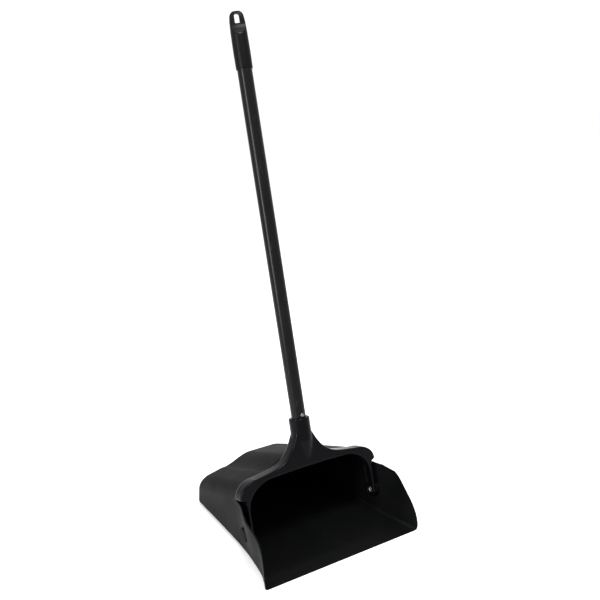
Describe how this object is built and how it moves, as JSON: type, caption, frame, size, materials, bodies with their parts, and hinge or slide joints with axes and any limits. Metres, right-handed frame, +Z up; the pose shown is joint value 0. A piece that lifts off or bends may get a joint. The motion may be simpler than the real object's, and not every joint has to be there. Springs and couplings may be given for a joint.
{
  "type": "upright lobby dustpan",
  "caption": "Upright hooded dustpan on rear wheels, with a tipping yoke and a long tube handle that ends in a grip with a hanging hole.",
  "frame": {"origin": "on the floor, at the middle of the whole object's width and depth at rest", "axes": "+Z up, the pan opens towards -Y, +X along the pan's width to the object's left-hand side as seen from the back"},
  "size_m": [0.325, 0.3529, 0.901],
  "materials": {
    "pan_plastic": "black satin moulded polypropylene with fine scuffs",
    "yoke_plastic": "black satin moulded plastic, slightly glossier than the pan",
    "tube_coat": "steel tube with a glossy black vinyl coat",
    "grip_plastic": "black satin moulded plastic",
    "wheel_plastic": "dark moulded plastic, worn matt on the tread",
    "pad_plastic": "black hard-wearing plastic",
    "steel": "plated steel"
  },
  "bodies": {
    "pan": {"pan_body": "pan_plastic", "left_wear_pad": "pad_plastic", "right_wear_pad": "pad_plastic", "left_wheel_axle": "steel", "right_wheel_axle": "steel", "left_pivot_pin": "steel", "right_pivot_pin": "steel"},
    "handle": {"yoke": "yoke_plastic", "handle_tube": "tube_coat", "hang_up_grip": "grip_plastic", "tube_stop_rivet": "steel", "socket_rivet": "steel", "left_thrust_washer": "pad_plastic", "right_thrust_washer": "pad_plastic", "left_pin_washer": "steel", "right_pin_washer": "steel"},
    "left_wheel": {"left_wheel": "wheel_plastic"},
    "right_wheel": {"right_wheel": "wheel_plastic"}
  },
  "joints": [
    {"name": "handle_tilt", "type": "hinge", "parent": "pan", "child": "handle", "pos_m": [0, -0.0764, 0.044], "axis": [1, 0, 0], "range_deg": [0, 100]},
    {"name": "left_wheel_spin", "type": "hinge", "parent": "pan", "child": "left_wheel", "pos_m": [-0.085, 0.1241, 0.0125], "axis": [1, 0, 0], "continuous": true},
    {"name": "right_wheel_spin", "type": "hinge", "parent": "pan", "child": "right_wheel", "pos_m": [0.085, 0.1241, 0.0125], "axis": [1, 0, 0], "continuous": true}
  ]
}
